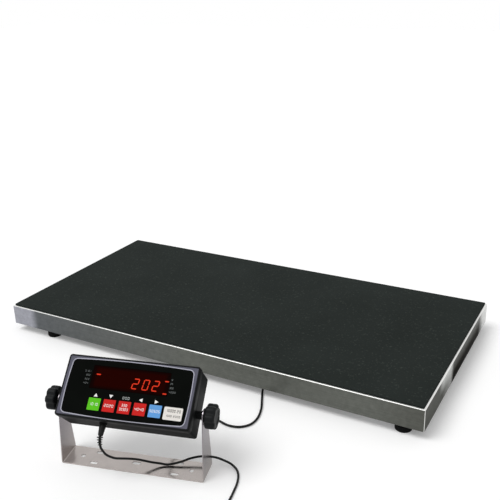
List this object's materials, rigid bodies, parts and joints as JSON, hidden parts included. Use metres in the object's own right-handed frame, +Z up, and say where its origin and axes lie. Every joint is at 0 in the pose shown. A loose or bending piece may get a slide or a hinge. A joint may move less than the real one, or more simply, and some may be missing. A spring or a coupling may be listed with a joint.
{
  "type": "livestock scale",
  "caption": "Low platform scale for calves and small livestock: rubber-topped steel deck on load cells, with a separate tilting digital indicator in a U bracket.",
  "frame": {"origin": "on the floor, under the centre of the box around the platform and the indicator without its cords", "axes": "+X along the platform's length, to the right as the indicator's face is read; +Y from the indicator towards the platform; +Z up"},
  "size_m": [1.1, 0.9554, 0.2075],
  "materials": {
    "mat_rubber": "matt black rubber",
    "foot_rubber": "matt black rubber",
    "stainless": "bright stainless sheet",
    "frame_steel": "grey painted steel section",
    "zinc": "zinc plated",
    "cell_aluminium": "machined aluminium",
    "black_plastic": "black moulded plastic",
    "bezel_plastic": "black moulded plastic with a slate grey face ring",
    "panel_film": "black keypad film",
    "red_filter": "dark red display filter",
    "circuit_board": "green circuit board",
    "key_green": "green key film",
    "key_red": "red key film",
    "key_blue": "blue key film",
    "label_white": "off-white printed film",
    "cord_black": "black flexible PVC"
  },
  "bodies": {
    "base": {"rubber_mat": "mat_rubber", "deck_pan": "stainless", "rail_front": "frame_steel", "rail_back": "frame_steel", "cross_member_left": "frame_steel", "cross_member_right": "frame_steel", "load_cell_front_left": "cell_aluminium", "load_cell_front_right": "cell_aluminium", "load_cell_back_left": "cell_aluminium", "load_cell_back_right": "cell_aluminium", "cell_mount_front_left": "frame_steel", "cell_mount_front_right": "frame_steel", "cell_mount_back_left": "frame_steel", "cell_mount_back_right": "frame_steel", "cell_bolts_front_left": "zinc", "cell_bolts_front_right": "zinc", "cell_bolts_back_left": "zinc", "cell_bolts_back_right": "zinc", "jam_nut_front_left": "zinc", "jam_nut_front_right": "zinc", "jam_nut_back_left": "zinc", "jam_nut_back_right": "zinc", "cell_lead_front_left": "cord_black", "cell_lead_front_right": "cord_black", "cell_lead_back_left": "cord_black", "cell_lead_back_right": "cord_black", "junction_box": "black_plastic", "junction_lid": "black_plastic", "outlet_gland": "black_plastic", "bracket": "stainless", "wall_adaptor": "black_plastic", "dc_lead": "cord_black", "dc_lead_coil": "cord_black", "dc_lead_tail": "cord_black", "load_cable": "cord_black", "load_cable_coil": "cord_black", "load_cable_tail": "cord_black"},
    "head": {"rear_housing": "black_plastic", "front_bezel": "bezel_plastic", "keypad_panel": "panel_film", "display_window": "red_filter", "capacity_label": "label_white", "display_board": "circuit_board", "main_board": "circuit_board", "side_washer_left": "foot_rubber", "side_washer_right": "foot_rubber", "rear_gland": "black_plastic", "dc_socket": "black_plastic", "dc_plug": "cord_black"},
    "knob_left": {"clamp_knob_left": "black_plastic"},
    "knob_right": {"clamp_knob_right": "black_plastic"},
    "key_1_body": {"key_1": "key_green"},
    "key_2_body": {"key_2": "key_red"},
    "key_3_body": {"key_3": "key_red"},
    "key_4_body": {"key_4": "key_red"},
    "key_5_body": {"key_5": "key_blue"},
    "foot_front_left": {"levelling_foot_front_left": "foot_rubber"},
    "foot_front_right": {"levelling_foot_front_right": "foot_rubber"},
    "foot_back_left": {"levelling_foot_back_left": "foot_rubber"},
    "foot_back_right": {"levelling_foot_back_right": "foot_rubber"}
  },
  "joints": [
    {"name": "head_tilt", "type": "hinge", "parent": "base", "child": "head", "pos_m": [0.084, -0.38603, 0.127], "axis": [0.9664, 0.2571, 0], "range_deg": [-35, 40], "deforming": ["dc_lead", "load_cable"]},
    {"name": "knob_left_turn", "type": "hinge", "parent": "head", "child": "knob_left", "pos_m": [-0.06579, -0.42588, 0.127], "axis": [-0.9664, -0.2571, 0], "range_deg": [0, 360]},
    {"name": "knob_right_turn", "type": "hinge", "parent": "head", "child": "knob_right", "pos_m": [0.23379, -0.34617, 0.127], "axis": [0.9664, 0.2571, 0], "range_deg": [0, 360]},
    {"name": "key_1_press", "type": "slide", "parent": "head", "child": "key_1_body", "axis": [-0.1734, 0.6516, -0.7385], "range_m": [0, 0.0004], "stiffness_N_per_m": 2000},
    {"name": "key_2_press", "type": "slide", "parent": "head", "child": "key_2_body", "axis": [-0.1734, 0.6516, -0.7385], "range_m": [0, 0.0004], "stiffness_N_per_m": 2000},
    {"name": "key_3_press", "type": "slide", "parent": "head", "child": "key_3_body", "axis": [-0.1734, 0.6516, -0.7385], "range_m": [0, 0.0004], "stiffness_N_per_m": 2000},
    {"name": "key_4_press", "type": "slide", "parent": "head", "child": "key_4_body", "axis": [-0.1734, 0.6516, -0.7385], "range_m": [0, 0.0004], "stiffness_N_per_m": 2000},
    {"name": "key_5_press", "type": "slide", "parent": "head", "child": "key_5_body", "axis": [-0.1734, 0.6516, -0.7385], "range_m": [0, 0.0004], "stiffness_N_per_m": 2000},
    {"name": "foot_front_left_screw", "type": "slide", "parent": "base", "child": "foot_front_left", "axis": [0, 0, -1], "range_m": [0, 0.01]},
    {"name": "foot_front_right_screw", "type": "slide", "parent": "base", "child": "foot_front_right", "axis": [0, 0, -1], "range_m": [0, 0.01]},
    {"name": "foot_back_left_screw", "type": "slide", "parent": "base", "child": "foot_back_left", "axis": [0, 0, -1], "range_m": [0, 0.01]},
    {"name": "foot_back_right_screw", "type": "slide", "parent": "base", "child": "foot_back_right", "axis": [0, 0, -1], "range_m": [0, 0.01]}
  ]
}
